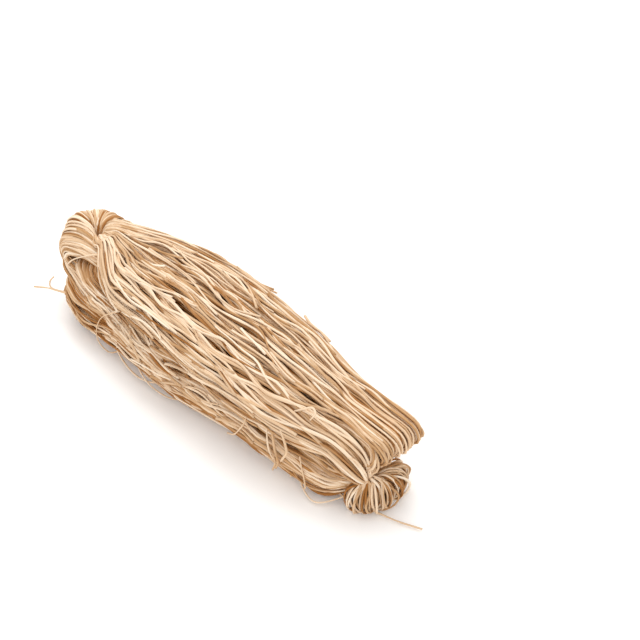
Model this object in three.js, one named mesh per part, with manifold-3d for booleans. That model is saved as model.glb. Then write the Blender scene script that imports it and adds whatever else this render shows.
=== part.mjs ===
// Bundle of flat rice noodles: one dried hank, lying on its flat underside.
// The noodles run in two broad sheets, one on the other. The upper sheet fans out from a pinch at the
// head and runs to the tail, where its top folds down over the end in an even row and its sides gather
// into the tail's pinch. The lower sheet comes from the tail's pinch, folds up at the head and gathers
// under the head's pinch. At each pinch the noodles roll over in loops: a wide roll on top of the
// head, and a small tuft on the table at the tail.
// Frame: millimetres, +X from head to tail, +Z up, -Y the near side, origin mid-underside.
import * as THREE from "three";
import { mergeVertices } from "three/addons/utils/BufferGeometryUtils.js";
import Module from "manifold-3d";

// Driving dimensions.
const SHEET_LENGTH = 192; // fold to fold
const WIDTH = 62;
const HEIGHT = 42;
const NOODLE_WIDTH = 1.4;
const NOODLE_THICKNESS = 0.8;
const HEAD_PINCH = new THREE.Vector3(-94.5, -4.5, HEIGHT - 1);
const TAIL_PINCH = new THREE.Vector3(91.5, -4.5, 13);
// A roll of loops: its length from the pinch to the rim, how far its rim's middle lies to the far side of
// the pinch, and the heights of its top and underside.
const HEAD_ROLL = {
  pinch: HEAD_PINCH,
  outwards: -1,
  length: 21.5,
  halfWidth: 17.5,
  aside: 0,
  crest: HEIGHT,
  foot: 17,
};
const TAIL_TUFT = {
  pinch: TAIL_PINCH,
  outwards: 1,
  length: 10.5,
  halfWidth: 15.5,
  aside: 4.5,
  crest: 17,
  foot: 1.5,
};
// The even row at the tail: its near and far end, its height, and the tight fold round x = turn.
const ROW = { near: -6, far: 20.5, height: 34.3, fold: 4.9, turn: 92.6 };
const TABLE_CUT = 1.5; // how much of the lower sheet's round underside is cut flat
const ORIGIN = new THREE.Vector2(0.7, -1.35); // the middle, with the single noodles counted

const HALF_SHEET = SHEET_LENGTH / 2;
const HALF_WIDTH = WIDTH / 2;
const DEGREE = Math.PI / 180;
const clamp = THREE.MathUtils.clamp;
const lerp = THREE.MathUtils.lerp;
const squared = (value, power) => Math.sign(value) * Math.abs(value) ** power;

// The same numbers each run, for the noodles' wander.
function seededNumbers(seed) {
  let state = seed;
  return () => {
    state = (state * 1664525 + 1013904223) % 4294967296;
    return state / 4294967296;
  };
}
const random = seededNumbers(7);
const either = (size) => (2 * random() - 1) * size;

// A smooth curve through [share of HALF_SHEET, share of scale] stations: a Hermite spline whose slope at
// each station is the mean slope between its neighbours.
function through(scale, stations) {
  const slope = stations.map((_, i) => {
    const before = stations[Math.max(i - 1, 0)];
    const after = stations[Math.min(i + 1, stations.length - 1)];
    return (after[1] - before[1]) / (after[0] - before[0]);
  });
  return (x) => {
    const along = clamp(x / HALF_SHEET, stations[0][0], stations[stations.length - 1][0]);
    const next = stations.findIndex((s) => s[0] > along);
    const i = next < 0 ? stations.length - 2 : next - 1;
    const [start, low] = stations[i];
    const [end, high] = stations[i + 1];
    const span = end - start;
    const t = (along - start) / span;
    const bend = t * t * (3 - 2 * t);
    const lean = t * (1 - t) * (slope[i] * span * (1 - t) - slope[i + 1] * span * t);
    return scale * (lerp(low, high, bend) + lean);
  };
}

// The two sheets' outlines from above (near and far side) and from the side (top and bottom).
const upperSheet = {
  start: -HALF_SHEET,
  end: HALF_SHEET,
  near: through(HALF_WIDTH, [
    [-1, -0.22],
    [-0.91, -0.42],
    [-0.73, -0.64],
    [-0.5, -0.79],
    [0.1, -0.82],
    [0.45, -0.72],
    [0.71, -0.54],
    [1, -0.2],
  ]),
  far: through(HALF_WIDTH, [
    [-1, -0.05],
    [-0.93, 0.38],
    [-0.77, 0.62],
    [-0.55, 0.87],
    [-0.25, 1],
    [0.15, 0.92],
    [0.45, 0.83],
    [0.8, 0.68],
    [1, 0.35],
  ]),
  top: through(HEIGHT, [
    [-1, 0.94],
    [-0.45, 1],
    [0.2, 0.95],
    [0.7, 0.86],
    [1, 0.72],
  ]),
  bottom: through(HEIGHT, [
    [-1, 0.6],
    [-0.6, 0.43],
    [0, 0.33],
    [1, 0.35],
  ]),
};
const lowerSheet = {
  start: -HALF_SHEET - 1,
  end: HALF_SHEET - 3,
  near: through(HALF_WIDTH, [
    [-1, -0.86],
    [-0.83, -1],
    [-0.5, -1],
    [-0.2, -0.98],
    [0.1, -0.86],
    [0.5, -0.73],
    [0.75, -0.62],
    [1, -0.35],
  ]),
  far: through(HALF_WIDTH, [
    [-1, 0.5],
    [-0.6, 0.87],
    [-0.1, 0.95],
    [0.4, 0.8],
    [0.75, 0.5],
    [1, 0.1],
  ]),
  top: through(HEIGHT, [
    [-1, 0.62],
    [0, 0.6],
    [0.6, 0.52],
    [1, 0.38],
  ]),
  bottom: () => -TABLE_CUT,
};

const SECTION_SQUARENESS = 0.8; // 1 is an ellipse, less is squarer
const END_BLUNTNESS = 0.28; // of a fold seen from above, less is blunter
const FOLD_ROUNDNESS = 1.7; // of a fold seen from the side

// A point of a sheet's skin: angle 0 is its top, a quarter turn its far side. cap is 1, or less at a fold.
function sheetPoint(sheet, x, angle, cap = 1, inset = 0) {
  const [near, far, top, bottom] = [sheet.near(x), sheet.far(x), sheet.top(x), sheet.bottom(x)];
  const across = ((far - near) / 2 - inset) * cap;
  const upright = ((top - bottom) / 2 - inset) * cap ** FOLD_ROUNDNESS;
  return new THREE.Vector3(
    x,
    (far + near) / 2 + across * squared(Math.sin(angle), SECTION_SQUARENESS),
    (top + bottom) / 2 + upright * squared(Math.cos(angle), SECTION_SQUARENESS),
  );
}

// How high the upper side of a sheet's skin is at x and y, or half its height beyond its edges.
function skinHeight(sheet, x, y) {
  const [near, far, top, bottom] = [sheet.near(x), sheet.far(x), sheet.top(x), sheet.bottom(x)];
  const across = clamp(Math.abs((2 * y - near - far) / (far - near)), 0, 1) ** (1 / SECTION_SQUARENESS);
  return (top + bottom) / 2 + ((top - bottom) / 2) * (1 - across ** 2) ** (SECTION_SQUARENESS / 2);
}

const wasm = await Module();
wasm.setup();

// A closed geometry as a solid.
function solid(geometry) {
  geometry.deleteAttribute("normal");
  geometry.deleteAttribute("uv");
  const merged = mergeVertices(geometry);
  return new wasm.Manifold(
    new wasm.Mesh({
      numProp: 3,
      vertProperties: merged.attributes.position.array,
      triVerts: new Uint32Array(merged.index.array),
    }),
  );
}

// A sphere's grid with its poles at the head and tail ends, each point moved to place(polar, around): polar
// runs a quarter turn each way from the middle to the poles, around is the angle from the top.
function pulledSphere([around, along], place) {
  const geometry = new THREE.SphereGeometry(1, around, along);
  const position = geometry.getAttribute("position");
  for (let i = 0; i < position.count; i++) {
    const polar = Math.asin(clamp(position.getY(i), -1, 1));
    const p = place(polar, Math.atan2(position.getZ(i), position.getX(i)));
    position.setXYZ(i, p.x, p.y, p.z);
  }
  return solid(geometry);
}

const CORE_INSET = 0.25; // how far the core's skin lies below the noodles' middle
const SHEET_GRID = [18, 20];
const END_RINGS = 0.8; // less crowds a sheet's rings less towards its folds

// One sheet's core.
function sheetCore(sheet) {
  const middle = (sheet.start + sheet.end) / 2;
  const half = (sheet.end - sheet.start) / 2 - CORE_INSET;
  return pulledSphere(SHEET_GRID, (polar, around) => {
    const x = middle + half * squared(Math.sin(polar), END_RINGS);
    return sheetPoint(sheet, x, around, Math.cos(polar) ** END_BLUNTNESS, CORE_INSET);
  });
}

const ROLL_GRID = [12, 8];
const ROLL_INSET = 1.2; // how far a roll's core lies inside its loops' rim
const ROLL_SQUARENESS = 0.7;
const ROLL_EDGE = 0.6; // how slowly a roll thins towards its sides, less is slower

// The core of a roll of loops: a thick disc round its pinch, rounded at the rim.
function rollCore({ pinch, outwards, length, halfWidth, aside, crest, foot }) {
  return pulledSphere(ROLL_GRID, (polar, around) => {
    const out = (length - ROLL_INSET) * Math.cos(polar) * squared(Math.sin(around), ROLL_SQUARENESS);
    const rise = Math.cos(polar) ** ROLL_EDGE * squared(Math.cos(around), ROLL_SQUARENESS);
    return new THREE.Vector3(
      pinch.x + outwards * out,
      pinch.y + aside - outwards * (halfWidth - ROLL_INSET) * Math.sin(polar),
      (crest + foot) / 2 + ((crest - foot) / 2 + 1) * rise,
    );
  });
}

const ROW_ROOT = 50; // where the row's core leaves the upper sheet's
const ROW_FACETS = 6; // round half of the fold

// The core of the row: a slab with a half round end, from inside the upper sheet's core.
function rowCore() {
  const radius = ROW.fold - CORE_INSET;
  const outline = new THREE.Shape();
  outline.moveTo(ROW_ROOT, -radius);
  outline.lineTo(ROW.turn, -radius);
  outline.absarc(ROW.turn, 0, radius, -Math.PI / 2, Math.PI / 2);
  outline.lineTo(ROW_ROOT, radius);
  const across = { depth: ROW.far - ROW.near, bevelEnabled: false, curveSegments: ROW_FACETS };
  const slab = new THREE.ExtrudeGeometry(outline, across).rotateX(Math.PI / 2);
  return solid(slab.translate(0, ROW.far, ROW.height - ROW.fold));
}

const FOLD_DEPTH = 16; // how far from a fold the noodles begin to turn down

// Which way a noodle's flat face looks: away from the bundle's middle line.
function awayFromBundle(p) {
  const middle = HALF_SHEET - FOLD_DEPTH;
  const beyond = (p.x - clamp(p.x, -middle, middle)) / FOLD_DEPTH;
  return new THREE.Vector3(beyond, squared(p.y / HALF_WIDTH, 2.5), (2 * p.z) / HEIGHT - 1);
}

// A flat noodle along a smooth curve through points: a straight extruded strip, bent step by step.
function noodle(points, steps, away = awayFromBundle) {
  const curve = new THREE.CatmullRomCurve3(points, false, "centripetal");
  const w = NOODLE_WIDTH / 2;
  const t = NOODLE_THICKNESS / 2;
  const section = new THREE.Shape([
    new THREE.Vector2(-w, -t),
    new THREE.Vector2(w, -t),
    new THREE.Vector2(w, t),
    new THREE.Vector2(-w, t),
  ]);
  const strip = new THREE.ExtrudeGeometry(section, { depth: 1, steps, bevelEnabled: false });
  const frames = [];
  for (let i = 0; i <= steps; i++) {
    const at = curve.getPoint(i / steps);
    const forward = curve.getTangent(i / steps);
    const up = away(at);
    up.addScaledVector(forward, -up.dot(forward)).normalize();
    frames.push({ at, up, side: new THREE.Vector3().crossVectors(up, forward) });
  }
  const position = strip.getAttribute("position");
  for (let i = 0; i < position.count; i++) {
    const frame = frames[Math.round(position.getZ(i) * steps)];
    const p = frame.at
      .clone()
      .addScaledVector(frame.side, position.getX(i))
      .addScaledVector(frame.up, position.getY(i));
    position.setXYZ(i, p.x, p.y, p.z);
  }
  return solid(strip);
}

const SHEET_NOODLES = 17;
const STEPS_PER_POINT = 1.5;
const WRAP_ANGLE = 98 * DEGREE; // how far round the sheet's section its outermost noodles lie
const RUN_STATIONS = [-0.96, -0.88, -0.76, -0.58, -0.35, -0.05, 0.25, 0.55, 0.8];
const FAN_LENGTH = 0.3; // from the pinch to where the noodles have spread all the way round
const FALL_STATIONS = [0.3, 0.6, 0.9];
const FOLD_STATIONS = [70, 20, -35, -95];
const FIRST_IN_ROW = -0.2; // the share of the row's nearest noodle
const LAST_IN_ROW = 0.65;
const RISING = [0.3, 0.8]; // along the sheet, where the noodles draw level into the row

// The tail end of a noodle that gathers into the tail's pinch, on from its last point on the sheet.
function gatheredEnd(from) {
  const bulge = HALF_SHEET - TAIL_PINCH.x + 1;
  return FALL_STATIONS.map(
    (fall) =>
      new THREE.Vector3(
        lerp(from.x, TAIL_PINCH.x, fall ** 0.7) + bulge * Math.sin(Math.PI * fall ** 0.8) ** 0.8,
        lerp(from.y, TAIL_PINCH.y, fall ** 2.2),
        lerp(from.z, TAIL_PINCH.z, fall ** 1.4),
      ),
  );
}

// The tail end of a noodle of the row: tightly round the fold.
function foldedEnd(y) {
  return FOLD_STATIONS.map(
    (turned) =>
      new THREE.Vector3(
        ROW.turn + ROW.fold * Math.cos(turned * DEGREE),
        y,
        ROW.height + ROW.fold * (Math.sin(turned * DEGREE) - 1),
      ),
  );
}

// A noodle of the upper sheet: out of the head's pinch, fanning over the sheet, and into the row or the
// tail's pinch. share runs from -1, the near edge, to 1, the far edge. The head's pinch has no room for all
// of them, so a late one comes up from the core where the sheet is wider.
function sheetNoodle(share, late) {
  const sway = either(0.05);
  const turn = either(180 * DEGREE);
  const inRow = share > FIRST_IN_ROW && share < LAST_IN_ROW;
  const rowShare = (share - FIRST_IN_ROW) / (LAST_IN_ROW - FIRST_IN_ROW);
  const rowPlace = lerp(ROW.near, ROW.far, rowShare);
  const points = late ? [] : [HEAD_PINCH.clone().add(new THREE.Vector3(-2, 3 * share, -5))];
  const stations = late ? RUN_STATIONS.slice(2) : RUN_STATIONS;
  stations.forEach((along, i) => {
    const spread = clamp((along + 1) / FAN_LENGTH, 0.35, 1);
    const angle = (share + sway * Math.sin(along * 4.6 + turn)) * WRAP_ANGLE * spread;
    const depth = late && i === 0 ? 3 : 0;
    const point = sheetPoint(upperSheet, along * HALF_SHEET, angle, 1, depth);
    if (inRow && along > RISING[0]) {
      const risen = THREE.MathUtils.smoothstep(along, ...RISING);
      point.y = lerp(point.y, rowPlace, risen);
      const skin = skinHeight(upperSheet, point.x, point.y);
      point.z = lerp(skin, Math.max(skin, ROW.height), risen);
    }
    points.push(point);
  });
  points.push(...(inRow ? foldedEnd(rowPlace) : gatheredEnd(points[points.length - 1])));
  return noodle(points, Math.round(points.length * STEPS_PER_POINT));
}

const SIDE_NOODLES = 4;
const SIDE_STEPS = 18;
const SIDE_STATIONS = [-0.97, -0.88, -0.68, -0.4, -0.06, 0.3, 0.6, 0.82];
const LOWEST_ANGLE = 126 * DEGREE; // round the lower sheet's section, from its top
const HIGHEST_ANGLE = 60 * DEGREE;

// A noodle of the lower sheet that shows along a side: from under the head's roll round the fold, along the
// side and in to the tail's pinch. side is -1 for the near side; level runs from 0, the lowest, to 1.
function sideNoodle(side, level) {
  const ripple = either(2 * DEGREE);
  const angle = side * lerp(LOWEST_ANGLE, HIGHEST_ANGLE, level);
  const points = [
    new THREE.Vector3(HEAD_PINCH.x + 10, HEAD_PINCH.y + side * 4, lowerSheet.top(-HALF_SHEET) - 3),
    sheetPoint(lowerSheet, -HALF_SHEET, angle * lerp(0.25, 0.45, level), 0.72),
    sheetPoint(lowerSheet, -HALF_SHEET, angle * 0.75, 0.82),
  ];
  SIDE_STATIONS.forEach((along, i) => {
    const swayed = angle + ripple * Math.sin(along * 5 + 3 * level);
    points.push(sheetPoint(lowerSheet, along * HALF_SHEET, swayed, i === 0 ? 0.9 : 1));
  });
  points.push(TAIL_PINCH.clone().add(new THREE.Vector3(-2, side * 3, -3)));
  return noodle(points, SIDE_STEPS);
}

const LOOP_STEPS = 12;
const LOOP_SPREAD = 76 * DEGREE;

// A loop of a roll: out of the pinch, over the top to the rim, down round it and back under. share runs
// from -1 to 1 across the roll, reach is the loop's length beside the others'.
function loopNoodle({ pinch, outwards, length, halfWidth, aside, crest, foot }, share, reach = 1) {
  const heading = share * LOOP_SPREAD;
  const at = (distance, z) =>
    new THREE.Vector3(
      pinch.x + outwards * distance * reach * length * Math.cos(heading),
      pinch.y + distance * (aside + reach * halfWidth * Math.sin(heading)),
      z,
    );
  const middle = (crest + foot) / 2;
  const points = [
    at(0.2, crest - 5),
    at(0.4, crest),
    at(0.75, crest - 1),
    at(0.95, lerp(middle, crest, 0.55)),
    at(1, middle),
    at(0.94, lerp(middle, foot, 0.6)),
    at(0.7, foot),
    at(0.3, foot + 2),
  ];
  const centre = new THREE.Vector3(pinch.x + outwards * length * 0.3, pinch.y + aside / 2, middle);
  return noodle(points, LOOP_STEPS, (p) => p.clone().sub(centre));
}

const HEAD_LOOPS = 9;
const TAIL_LOOPS = 5;
const STRAY_STEPS = 9;

// Single noodles that stand clear of the bundle, from inside it to a broken end or back into it.
const STRAYS = [
  [
    [-84, -22, 15],
    [-93, -27, 15],
    [-101, -31, 14],
    [-110, -33, 15],
  ],
  [
    [-95, -27.5, 15],
    [-102, -31, 15.5],
    [-106, -33, 18],
    [-108, -32, 21],
  ],
  [
    [86, -12, 3],
    [96, -8, 2],
    [107, -4, 1.2],
    [117.5, 0.5, 1.2],
  ],
  [
    [-66, -25, 22],
    [-65, -31, 12],
    [-60, -33, 7],
    [-52, -33, 7],
    [-44, -27, 14],
  ],
  [
    [62, -16, 7],
    [68, -21, 4],
    [77, -22, 2],
    [85, -13, 5],
  ],
];

const pieces = [
  sheetCore(upperSheet),
  sheetCore(lowerSheet),
  rowCore(),
  rollCore(HEAD_ROLL),
  rollCore(TAIL_TUFT),
];
const acrossEvenly = (count) => Array.from({ length: count }, (_, i) => (2 * i) / (count - 1) - 1);
acrossEvenly(SHEET_NOODLES).forEach((share, i) => {
  pieces.push(sheetNoodle(share, i % 2 === 1));
});
for (const side of [-1, 1]) {
  for (let i = 0; i < SIDE_NOODLES; i++) {
    pieces.push(sideNoodle(side, i / (SIDE_NOODLES - 1)));
  }
}
for (const share of acrossEvenly(HEAD_LOOPS)) {
  pieces.push(loopNoodle(HEAD_ROLL, share));
}
acrossEvenly(TAIL_LOOPS).forEach((share, i) => {
  pieces.push(loopNoodle(TAIL_TUFT, share, i % 2 ? 0.9 : 1));
});
for (const stray of STRAYS) {
  pieces.push(noodle(stray.map((p) => new THREE.Vector3(...p)), STRAY_STEPS));
}

function surfaceOf(body) {
  const { vertProperties, triVerts } = body.getMesh();
  const surface = new THREE.BufferGeometry();
  surface.setAttribute("position", new THREE.BufferAttribute(vertProperties, 3));
  surface.setIndex(new THREE.BufferAttribute(triVerts, 1));
  return surface;
}

// The largest body, without loose scraps and without the skins of hollows that the joining sealed.
function mainBody(whole) {
  return whole.decompose().reduce((best, body) => (body.volume() > best.volume() ? body : best));
}

// All joined and cut flat where the bundle lies on the table.
const joined = pieces.reduce((whole, piece) => whole.add(piece));
const table = solid(new THREE.BoxGeometry(400, 200, 40).translate(0, 0, -20));
const geometry = surfaceOf(mainBody(joined.subtract(table))).translate(-ORIGIN.x, -ORIGIN.y, 0);
geometry.computeVertexNormals();

const dryNoodle = new THREE.MeshStandardMaterial({ color: 0xe3c196, roughness: 0.6, metalness: 0 });
const bundle = new THREE.Mesh(geometry, dryNoodle);
bundle.name = "noodle_bundle";

const part = new THREE.Group();
part.name = "flat_rice_noodle_bundle";
part.add(bundle);

export default part;
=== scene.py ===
"""A dried bundle of flat rice noodles.

The noodles run in two broad sheets, one on the other. The upper sheet fans out from a pinch on top of the
head and runs to the tail, where its top folds down over the end in a row and its sides gather into the
tail's pinch. The lower sheet lies on the table and folds up under the head. At each pinch the noodles roll
over in loops. Paths are worked out in millimetres, +X from head to tail, -Y the near side, and go into the
meshes in metres.
"""
import bpy
import numpy as np
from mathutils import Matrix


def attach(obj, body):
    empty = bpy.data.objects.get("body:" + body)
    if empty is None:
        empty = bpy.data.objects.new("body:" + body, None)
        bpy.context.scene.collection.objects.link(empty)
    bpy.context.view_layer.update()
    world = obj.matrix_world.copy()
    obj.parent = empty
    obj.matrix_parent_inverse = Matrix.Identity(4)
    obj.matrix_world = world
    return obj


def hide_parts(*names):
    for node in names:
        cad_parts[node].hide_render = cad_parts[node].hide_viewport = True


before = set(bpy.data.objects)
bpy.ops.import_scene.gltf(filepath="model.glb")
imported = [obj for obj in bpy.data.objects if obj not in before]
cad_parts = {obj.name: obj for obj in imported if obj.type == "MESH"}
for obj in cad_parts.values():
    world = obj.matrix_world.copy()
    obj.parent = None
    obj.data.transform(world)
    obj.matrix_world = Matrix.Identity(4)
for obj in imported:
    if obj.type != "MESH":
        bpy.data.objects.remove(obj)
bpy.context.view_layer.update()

# The heart of the bundle: noodles packed so tightly that only the ridges of the outermost show, deep in
# the gaps between the locks. Dried rice dough, painted dark brown: painted shade, since little light gets
# in there. Two flat bodies, one on the other, with a round pad at each end, are ridged along the noodles.
MM = 0.001
TURN = 2 * np.pi
DEGREE = np.pi / 180
HALF_SHEET = 96.0
HALF_WIDTH = 31.0
HEIGHT = 42.0
SHIFT = np.array([-0.7, 1.35, 0.0])  # the sheets' middle lies this far from the frame's origin
SECTION_SQUARENESS = 0.8  # powers of the sine and cosine: 1 gives an oval, less a squarer one
END_SQUARENESS = 0.8
ROLL_SQUARENESS = 0.7
END_BLUNTNESS = 0.28
FOLD_ROUNDNESS = 1.7


def through(scale, stations):
    """A smooth outline along the bundle, through pairs of a share of half the length and a share of
    scale: a cubic between stations, whose slope at each is the mean slope between its two neighbours."""
    place, height = np.array(stations).T * np.array([[HALF_SHEET], [scale]])
    order = np.arange(len(place))
    before = np.maximum(order - 1, 0)
    after = np.minimum(order + 1, len(place) - 1)
    slope = (height[after] - height[before]) / (place[after] - place[before])

    def outline(x):
        x = np.clip(x, place[0], place[-1])
        i = np.clip(np.searchsorted(place, x, side="right") - 1, 0, len(place) - 2)
        span = place[i + 1] - place[i]
        t = (x - place[i]) / span
        bend = t * t * (3 - 2 * t)
        lean = t * (1 - t) * (slope[i] * span * (1 - t) - slope[i + 1] * span * t)
        return height[i] + (height[i + 1] - height[i]) * bend + lean

    return outline


# Each sheet's near edge, far edge, top and underside.
UPPER_SHEET = [
    through(HALF_WIDTH, [(-1, -0.22), (-0.91, -0.42), (-0.73, -0.64), (-0.5, -0.79), (0.1, -0.82),
                         (0.45, -0.72), (0.71, -0.54), (1, -0.2)]),
    through(HALF_WIDTH, [(-1, -0.05), (-0.93, 0.38), (-0.77, 0.62), (-0.55, 0.87), (-0.25, 1),
                         (0.15, 0.92), (0.45, 0.83), (0.8, 0.68), (1, 0.35)]),
    through(HEIGHT, [(-1, 0.94), (-0.45, 1), (0.2, 0.95), (0.7, 0.86), (1, 0.72)]),
    through(HEIGHT, [(-1, 0.6), (-0.6, 0.43), (0, 0.33), (1, 0.35)]),
]
LOWER_SHEET = [
    through(HALF_WIDTH, [(-1, -0.86), (-0.83, -1), (-0.5, -1), (-0.2, -0.98), (0.1, -0.86),
                         (0.5, -0.73), (0.75, -0.62), (1, -0.35)]),
    through(HALF_WIDTH, [(-1, 0.5), (-0.6, 0.87), (-0.1, 0.95), (0.4, 0.8), (0.75, 0.5), (1, 0.1)]),
    through(HEIGHT, [(-1, 0.62), (0, 0.6), (0.6, 0.52), (1, 0.38)]),
    through(HEIGHT, [(-1, -0.035), (1, -0.035)]),
]


def powered(value, power):
    """value to a power, with its sign kept."""
    return np.sign(value) * np.abs(value) ** power


def sheet_point(sheet, x, angle, inset=0.0, cap=1.0):
    """A point of a sheet's section at x, a squarish oval: across by the sine of the angle from the top,
    up by its cosine, each to a power under one. inset is the depth below the skin, and cap shrinks a
    section at a fold."""
    near, far, top, bottom = (side(x) for side in sheet)
    across = ((far - near) / 2 - inset) * cap
    upright = ((top - bottom) / 2 - inset) * cap**FOLD_ROUNDNESS
    y = (far + near) / 2 + across * powered(np.sin(angle), SECTION_SQUARENESS)
    z = (top + bottom) / 2 + upright * powered(np.cos(angle), SECTION_SQUARENESS)
    return np.stack(np.broadcast_arrays(x, y, z), axis=-1)


HEART_DEPTH = 4.2  # below the sheets' skin
RIDGE_DEPTH = 0.7
POINTS_TO_A_RIDGE = 4


def ridged_body(place, ridges, rings):
    """A closed body as a grid over two angles, from pole to pole and right round: place gives its points,
    each drawn in by a row of round ridges that run from pole to pole. Gives points and faces."""
    around = ridges * POINTS_TO_A_RIDGE
    polar = np.linspace(-np.pi / 2, np.pi / 2, rings)[1:-1, None]
    turn = (np.arange(around) * TURN / around)[None, :]
    ridge = 1 - np.abs(np.sin(turn * ridges / 2 + 0.4 * np.sin(3 * polar + 2 * turn)))
    skin = place(polar, turn, RIDGE_DEPTH * ridge)
    poles = place(np.array([[-np.pi / 2], [np.pi / 2]]), np.zeros((1, 1)), np.zeros((1, 1)))
    points = np.concatenate([skin.reshape(-1, 3), poles.reshape(-1, 3)])
    last = (len(polar) - 1) * around  # the first point of the last ring
    row = np.arange(0, last, around)[:, None]
    here = np.arange(around)[None, :]
    then = (here + 1) % around
    walls = np.stack([row + here, row + then, row + around + then, row + around + here], axis=-1)
    first_pole, last_pole = len(points) - 2, len(points) - 1
    even = np.arange(0, around, 2)
    next_even = (even + 2) % around
    nose = np.stack([np.full_like(even, first_pole), next_even, even + 1, even], axis=-1)
    tail = np.stack([np.full_like(even, last_pole), even, even + 1, next_even], axis=-1)
    tail[:, 1:] += last
    return points, np.concatenate([walls.reshape(-1, 4), nose, tail])


def heart_of_sheet(sheet, start, end):
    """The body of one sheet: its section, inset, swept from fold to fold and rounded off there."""
    half = (end - start) / 2 - HEART_DEPTH

    def place(polar, turn, groove):
        x = (start + end) / 2 + half * powered(np.sin(polar), END_SQUARENESS) + 0 * turn
        return sheet_point(sheet, x, turn, HEART_DEPTH + groove, np.cos(polar) ** END_BLUNTNESS)

    return ridged_body(place, ridges=58, rings=60)


HEAD_PINCH = np.array([-94.5, -4.5, 41.0])
TAIL_PINCH = np.array([91.5, -4.5, 13.0])
# A roll reaches its length outwards from its pinch and half its width to each side of a line that lies
# aside of the pinch. Crest and foot are the heights of its loops' upper and lower runs.
HEAD_ROLL = dict(
    pinch=HEAD_PINCH, outwards=-1, length=21.5, half_width=17.5, aside=0.0, crest=42.0, foot=17.0
)
TAIL_TUFT = dict(
    pinch=TAIL_PINCH, outwards=1, length=10.5, half_width=15.5, aside=4.5, crest=17.0, foot=1.5
)


def heart_of_roll(roll, inset):
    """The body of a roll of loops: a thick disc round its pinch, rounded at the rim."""
    pinch, outwards, crest, foot = roll["pinch"], roll["outwards"], roll["crest"], roll["foot"]

    def place(polar, turn, groove):
        out = (roll["length"] - inset - groove) * np.cos(polar) * powered(np.sin(turn), ROLL_SQUARENESS)
        rise = ((crest - foot) / 2 - inset - groove) * np.cos(polar) ** 0.6
        rise = rise * powered(np.cos(turn), ROLL_SQUARENESS)
        y = pinch[1] + roll["aside"] - outwards * (roll["half_width"] - inset) * np.sin(polar) + 0 * turn
        return np.stack([pinch[0] + outwards * out, y, (crest + foot) / 2 + rise], axis=-1)

    return ridged_body(place, ridges=40, rings=40)


class Value:
    """A number that varies over a surface. Operators on it add Math nodes to its finish."""

    def __init__(self, finish, socket):
        self.finish, self.socket = finish, socket

    def maths(self, operation, first, second):
        return self.finish.node("ShaderNodeMath", {"operation": operation}, {0: first, 1: second})

    def __add__(self, other):
        return self.maths("ADD", self, other)

    def __sub__(self, other):
        return self.maths("SUBTRACT", self, other)

    def __rsub__(self, other):
        return self.maths("SUBTRACT", other, self)

    def __mul__(self, other):
        return self.maths("MULTIPLY", self, other)

    __radd__ = __add__
    __rmul__ = __mul__


class Finish:
    """A material in the making, with one Principled shader whose fixed numbers are set on its sockets."""

    def __init__(self, name, **fixed):
        self.material = bpy.data.materials.new(name)
        self.material.use_nodes = True
        self.tree = self.material.node_tree
        self.shader = self.tree.nodes["Principled BSDF"]
        for socket, number in fixed.items():
            self.shader.inputs[socket.replace("_", " ")].default_value = number

    def node(self, kind, settings=None, sockets=None, output=0):
        """A new node: its settings first, then a number or a link for each socket named."""
        made = self.tree.nodes.new(kind)
        for name, setting in (settings or {}).items():
            setattr(made, name, setting)
        for name, value in (sockets or {}).items():
            self.feed(made.inputs[name], value)
        return Value(self, made.outputs[output])

    def feed(self, socket, value):
        if isinstance(value, Value):
            self.tree.links.new(value.socket, socket)
        else:
            socket.default_value = value

    def mixed(self, share, first, second):
        """One colour turning into another as share goes from 0 to 1."""
        settings = {"data_type": "RGBA", "clamp_factor": True}
        return self.node("ShaderNodeMix", settings, {0: share, 6: first, 7: second}, 2)


def noodle_finish(name, cream, pale, tan, deep, warm, streaked=True):
    """Dried rice dough, dull and slightly waxy: cream to tan from noodle to noodle, cloudy and streaked
    along each. light is the noodle's tone, its own colour with painted shade of the deeper layers in it,
    plus a cloud and a streak about zero. It turns tan to pale, the lightest parts to cream and the darkest,
    mostly painted shade, to deep, and warm patches lie over all."""
    finish = Finish(name, IOR=1.45, Specular_IOR_Level=0.18)
    tone = finish.node("ShaderNodeAttribute", {"attribute_name": "noodle_tone_and_shade"}, output=2)  # as a number
    place = finish.node("ShaderNodeTexCoord", output=3)  # Object coordinates
    cloud = finish.node("ShaderNodeTexNoise", None, {"Vector": place, "Scale": 90.0, "Detail": 3.0})
    patch = finish.node("ShaderNodeTexNoise", None, {"Vector": place, "Scale": 22.0, "Detail": 2.0})
    grain = finish.node("ShaderNodeTexNoise", None, {"Vector": place, "Scale": 1400.0, "Detail": 2.0})
    light = tone + 0.5 * (cloud - 0.5)
    if streaked:
        strip = finish.node("ShaderNodeUVMap", {"uv_map": "strip"})
        finer_across = {0: strip, 1: (1.0, 9.0, 1.0)}
        strip = finish.node("ShaderNodeVectorMath", {"operation": "MULTIPLY"}, finer_across)
        streak = finish.node("ShaderNodeTexNoise", None, {"Vector": strip, "Scale": 1.1, "Detail": 2.0})
        light = light + 0.5 * (streak - 0.5)
    colour = finish.mixed(1.7 * light - 0.42, tan, pale)
    colour = finish.mixed(1.6 * (light - 0.72), colour, cream)
    colour = finish.mixed(2.0 * (0.34 - light), colour, deep)
    colour = finish.mixed(1.3 * (patch - 0.54), colour, warm)
    finish.feed(finish.shader.inputs["Base Color"], colour)
    finish.feed(finish.shader.inputs["Roughness"], 0.46 + 0.2 * cloud)
    bump = finish.node("ShaderNodeBump", None, {"Strength": 0.25, "Distance": 0.0002, "Height": grain})
    finish.feed(finish.shader.inputs["Normal"], bump)
    return finish.material


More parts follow.
